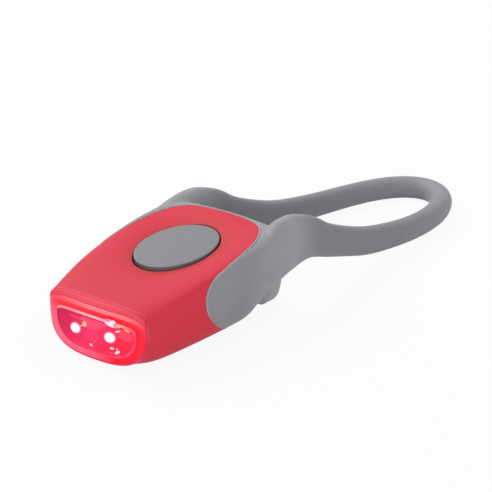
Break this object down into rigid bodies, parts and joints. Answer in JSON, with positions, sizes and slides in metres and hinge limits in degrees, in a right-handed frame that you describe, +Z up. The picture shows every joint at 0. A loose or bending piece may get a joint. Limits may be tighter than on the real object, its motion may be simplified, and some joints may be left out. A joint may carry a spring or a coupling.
{
  "type": "bicycle safety light",
  "caption": "Wedge-shaped clip-on bicycle safety light with a clear front lens, a top push button, a battery door and a stretch strap loop at the rear.",
  "frame": {"origin": "centre of the bounding box at the surface that the light stands on", "axes": "+Z up, +Y from the lens back to the strap's loop, +X across, with mirror symmetry about x = 0"},
  "size_m": [0.0312, 0.118, 0.0203],
  "materials": {
    "red_shell": "fine matte texture",
    "grey_silicone": "matte moulded silicone",
    "button_silicone": "matte moulded silicone",
    "clear_lens": "clear polycarbonate",
    "black_rubber": "matte",
    "red_reflector": "polished",
    "led_epoxy": "clear epoxy",
    "tinned_steel": "tinned",
    "board_green": "solder mask",
    "black_plastic": "moulded",
    "cell_steel": "nickel plated",
    "nickel_spring": "nickel plated",
    "screw_steel": "zinc plated"
  },
  "bodies": {
    "light": {"upper_shell": "red_shell", "lower_shell": "red_shell", "strap_cradle": "grey_silicone", "lens": "clear_lens", "lens_seal": "black_rubber", "reflector": "red_reflector", "led_left": "led_epoxy", "led_right": "led_epoxy", "led_leads_left": "tinned_steel", "led_leads_right": "tinned_steel", "circuit_board": "board_green", "controller_chip": "black_plastic", "resistors": "black_plastic", "switch_housing": "black_plastic", "button_gasket": "button_silicone", "battery_carrier": "black_plastic", "coin_cell_upper": "cell_steel", "coin_cell_lower": "cell_steel", "positive_contact": "nickel_spring", "negative_contact": "nickel_spring", "case_screws": "screw_steel", "board_screws": "screw_steel"},
    "button": {"button_pad": "button_silicone"},
    "switch": {"switch_plunger": "black_plastic"},
    "battery_door": {"battery_door": "red_shell", "door_seal": "black_rubber", "door_pad": "black_rubber", "door_screw": "screw_steel"}
  },
  "joints": [
    {"name": "button_press", "type": "slide", "parent": "light", "child": "button", "axis": [0, 0, -1], "range_m": [0, 0.0006], "stiffness_N_per_m": 800},
    {"name": "switch_travel", "type": "slide", "parent": "light", "child": "switch", "axis": [0, 0, -1], "range_m": [0, 0.0003]},
    {"name": "battery_door_release", "type": "slide", "parent": "light", "child": "battery_door", "axis": [0, 0, -1], "range_m": [0, 0.012]}
  ],
  "couplings": [
    {"joint": "switch_travel", "follows": "button_press", "ratio": 0.5}
  ]
}
